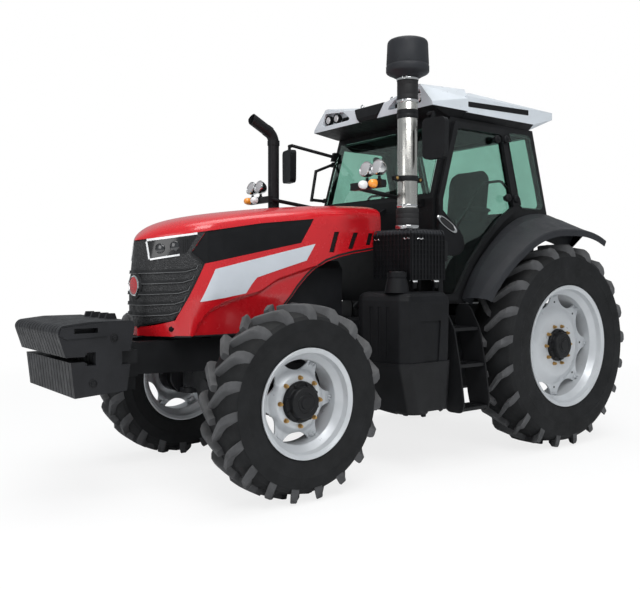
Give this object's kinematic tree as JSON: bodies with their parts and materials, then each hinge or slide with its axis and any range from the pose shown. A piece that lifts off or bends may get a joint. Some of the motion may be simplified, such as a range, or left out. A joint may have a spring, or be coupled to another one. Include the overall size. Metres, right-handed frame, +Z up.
{
  "type": "farm tractor",
  "caption": "Four-wheel-drive farm tractor with closed glazed cab, tilting hood, front ballast plates, steered front axle, lugged tyres and a rear three-point hitch",
  "frame": {"origin": "middle of the overall box at ground level", "axes": "+X forward, +Y to the driver's left, +Z up"},
  "size_m": [5.1988, 2.136, 3.215],
  "materials": {
    "black_paint": "satin",
    "cast": "matte",
    "red_paint": "gloss",
    "black_plastic": "matte",
    "glass": "polished",
    "lens": "polished",
    "roof_plastic": "gloss",
    "seat_fabric": "matte",
    "stainless": "brushed",
    "tyre_rubber": "matte",
    "rim_paint": "satin",
    "link_paint": "satin"
  },
  "bodies": {
    "chassis": {"front_frame": "black_paint", "front_weights": "cast", "engine": "cast", "radiator": "black_paint", "transmission": "cast", "rear_axle": "cast", "front_axle": "cast", "cab_frame": "black_paint", "cab_floor": "black_paint", "cab_glass": "glass", "cab_roof": "roof_plastic", "roof_visor": "black_plastic", "roof_lamps": "lens", "seat": "seat_fabric", "steering_console": "black_plastic", "fenders": "black_plastic", "fuel_tanks": "black_plastic", "tank_guards": "black_paint", "cab_steps": "black_paint", "air_cleaner": "black_plastic", "intake_pipe": "stainless", "precleaner": "black_plastic", "exhaust": "black_paint", "lamp_rails": "black_paint", "front_lamps": "lens", "mirrors": "black_plastic", "drawbar": "link_paint", "pto_shaft": "stainless"},
    "hood": {"hood_shell": "red_paint", "grille": "black_plastic", "hood_screens": "black_plastic", "headlights": "lens"},
    "door_left": {"door_left_frame": "black_paint", "door_left_glass": "glass"},
    "door_right": {"door_right_frame": "black_paint", "door_right_glass": "glass"},
    "steer_left": {"knuckle_left": "cast"},
    "steer_right": {"knuckle_right": "cast"},
    "tie_rod": {"tie_rod": "link_paint"},
    "front_left": {"tyre_front_left": "tyre_rubber", "wheel_front_left": "rim_paint"},
    "front_right": {"tyre_front_right": "tyre_rubber", "wheel_front_right": "rim_paint"},
    "rear_left": {"tyre_rear_left": "tyre_rubber", "wheel_rear_left": "rim_paint"},
    "rear_right": {"tyre_rear_right": "tyre_rubber", "wheel_rear_right": "rim_paint"},
    "lower_links": {"lower_links": "link_paint"},
    "lift_arms": {"lift_arms": "link_paint"},
    "lift_rods": {"lift_rods": "link_paint"},
    "top_link": {"top_link": "link_paint"}
  },
  "joints": [
    {"name": "hood_lid", "type": "hinge", "parent": "chassis", "child": "hood", "pos_m": [0.1025, 0, 1.955], "axis": [0, -1, 0], "range_deg": [0, 50]},
    {"name": "door_left_hinge", "type": "hinge", "parent": "chassis", "child": "door_left", "pos_m": [-1.2255, 0.741, 1.975], "axis": [0.2526, 0, 0.9676], "range_deg": [0, 70]},
    {"name": "door_right_hinge", "type": "hinge", "parent": "chassis", "child": "door_right", "pos_m": [-1.2255, -0.741, 1.975], "axis": [-0.2526, 0, -0.9676], "range_deg": [0, 70]},
    {"name": "steer_left", "type": "hinge", "parent": "chassis", "child": "steer_left", "pos_m": [1.2025, 0.6, 0.635], "axis": [0, 0, 1], "range_deg": [-35, 35]},
    {"name": "steer_right", "type": "hinge", "parent": "chassis", "child": "steer_right", "pos_m": [1.2025, -0.6, 0.635], "axis": [0, 0, 1], "range_deg": [-35, 35]},
    {"name": "tie_rod_slide", "type": "slide", "parent": "chassis", "child": "tie_rod", "axis": [0, 1, 0], "range_m": [-0.117, 0.117]},
    {"name": "spin_front_left", "type": "hinge", "parent": "steer_left", "child": "front_left", "pos_m": [1.2025, 0.85, 0.635], "axis": [0, 1, 0], "continuous": true},
    {"name": "spin_front_right", "type": "hinge", "parent": "steer_right", "child": "front_right", "pos_m": [1.2025, -0.85, 0.635], "axis": [0, 1, 0], "continuous": true},
    {"name": "spin_rear_left", "type": "hinge", "parent": "chassis", "child": "rear_left", "pos_m": [-1.4875, 0.84, 0.855], "axis": [0, 1, 0], "continuous": true},
    {"name": "spin_rear_right", "type": "hinge", "parent": "chassis", "child": "rear_right", "pos_m": [-1.4875, -0.84, 0.855], "axis": [0, 1, 0], "continuous": true},
    {"name": "lower_link_lift", "type": "hinge", "parent": "chassis", "child": "lower_links", "pos_m": [-1.5175, 0, 0.5], "axis": [0, 1, 0], "range_deg": [-15, 25]},
    {"name": "lift_arm_turn", "type": "hinge", "parent": "chassis", "child": "lift_arms", "pos_m": [-1.5975, 0, 1.14], "axis": [0, 1, 0], "range_deg": [-15, 25]},
    {"name": "lift_rod_turn", "type": "hinge", "parent": "lift_arms", "child": "lift_rods", "pos_m": [-2.1275, 0, 1.14], "axis": [0, 1, 0], "range_deg": [-25, 15]},
    {"name": "top_link_swing", "type": "hinge", "parent": "chassis", "child": "top_link", "pos_m": [-1.9075, 0, 0.985], "axis": [0, 1, 0], "range_deg": [-35, 40]}
  ],
  "couplings": [
    {"joint": "steer_right", "follows": "steer_left", "ratio": 1},
    {"joint": "tie_rod_slide", "follows": "steer_left", "m_per_rad": -0.19},
    {"joint": "lift_arm_turn", "follows": "lower_link_lift", "ratio": 1},
    {"joint": "lift_rod_turn", "follows": "lower_link_lift", "ratio": -1}
  ]
}
